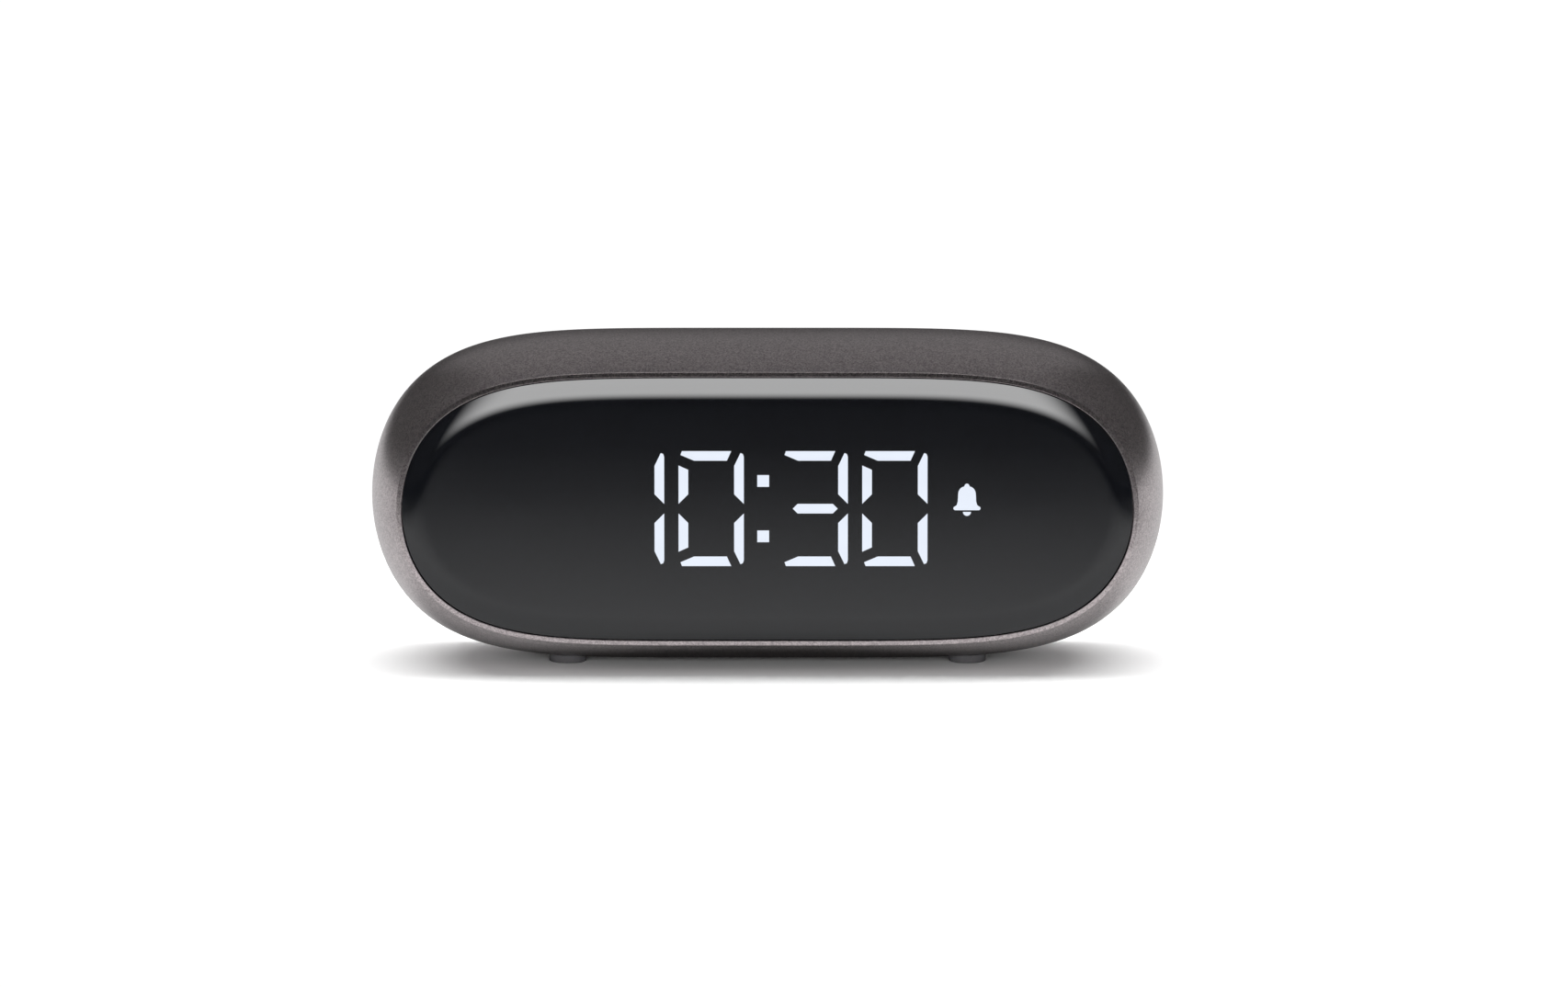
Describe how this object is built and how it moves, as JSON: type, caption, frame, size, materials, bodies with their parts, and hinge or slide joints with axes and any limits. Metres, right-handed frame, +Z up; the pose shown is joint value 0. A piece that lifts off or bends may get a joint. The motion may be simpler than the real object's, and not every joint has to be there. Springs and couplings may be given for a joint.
{
  "type": "alarm clock",
  "caption": "Pebble-shaped bedside LED alarm clock: one-piece shell, crowned dark lens over seven-segment figures, rear cover with push buttons, slider and charging socket.",
  "frame": {"origin": "under the middle of the clock, on the surface that its feet stand on", "axes": "+Z up, +X to the right of someone reading the clock, the lens faces -Y"},
  "size_m": [0.111, 0.0336, 0.0463],
  "materials": {
    "shell": "satin gunmetal metallic paint with a fine grain",
    "lens": "polished smoked acrylic",
    "tape": "closed-cell foam tape",
    "film": "translucent",
    "white_plastic": "moulded",
    "black_plastic": "moulded",
    "board": "solder mask",
    "battery_foil": "pouch foil",
    "foam": "open-cell foam",
    "steel": "nickel plated",
    "cover": "fine spark texture",
    "button": "satin",
    "copper": "foil",
    "rubber": "matt"
  },
  "bodies": {
    "case": {"alarm_switch": "black_plastic", "battery_cell": "battery_foil", "battery_connector": "white_plastic", "battery_foam": "foam", "battery_lead": "black_plastic", "board_screw_left_bottom": "steel", "board_screw_left_top": "steel", "board_screw_right_bottom": "steel", "board_screw_right_top": "steel", "charging_socket": "steel", "clock_chip": "black_plastic", "clock_crystal": "steel", "cover_screw_left_bottom": "steel", "cover_screw_left_top": "steel", "cover_screw_right_bottom": "steel", "cover_screw_right_top": "steel", "diffuser_film": "film", "display_frame": "black_plastic", "down_switch": "black_plastic", "dust_mesh": "black_plastic", "flex_cable": "film", "flex_socket_front": "white_plastic", "flex_socket_rear": "white_plastic", "foot_front_left": "rubber", "foot_front_right": "rubber", "foot_rear_left": "rubber", "foot_rear_right": "rubber", "frame_screw_left_bottom": "steel", "frame_screw_left_top": "steel", "frame_screw_right_bottom": "steel", "frame_screw_right_top": "steel", "front_lens": "lens", "housing": "shell", "led_board": "board", "led_screw_left": "steel", "led_screw_right": "steel", "lens_adhesive": "tape", "light_sensor": "black_plastic", "main_board": "board", "rear_cover": "cover", "segment_reflector": "white_plastic", "slide_switch": "black_plastic", "socket_tongue": "black_plastic", "sounder": "black_plastic", "sounder_gasket": "foam", "time_switch": "black_plastic", "touch_electrode": "copper", "touch_spring": "steel", "up_switch": "black_plastic"},
    "time_key": {"time_button": "button", "time_plunger": "black_plastic"},
    "alarm_key": {"alarm_button": "button", "alarm_plunger": "black_plastic"},
    "down_key": {"down_button": "button", "down_plunger": "black_plastic"},
    "up_key": {"up_button": "button", "up_plunger": "black_plastic"},
    "slider": {"alarm_slider": "button", "slider_lever": "black_plastic"}
  },
  "joints": [
    {"name": "time_press", "type": "slide", "parent": "case", "child": "time_key", "axis": [0, -1, 0], "range_m": [0, 0.0004], "stiffness_N_per_m": 1500, "springref_m": -0.0002},
    {"name": "alarm_press", "type": "slide", "parent": "case", "child": "alarm_key", "axis": [0, -1, 0], "range_m": [0, 0.0004], "stiffness_N_per_m": 1500, "springref_m": -0.0002},
    {"name": "down_press", "type": "slide", "parent": "case", "child": "down_key", "axis": [0, -1, 0], "range_m": [0, 0.0004], "stiffness_N_per_m": 1500, "springref_m": -0.0002},
    {"name": "up_press", "type": "slide", "parent": "case", "child": "up_key", "axis": [0, -1, 0], "range_m": [0, 0.0004], "stiffness_N_per_m": 1500, "springref_m": -0.0002},
    {"name": "alarm_slide", "type": "slide", "parent": "case", "child": "slider", "axis": [-1, 0, 0], "range_m": [0, 0.002]}
  ]
}
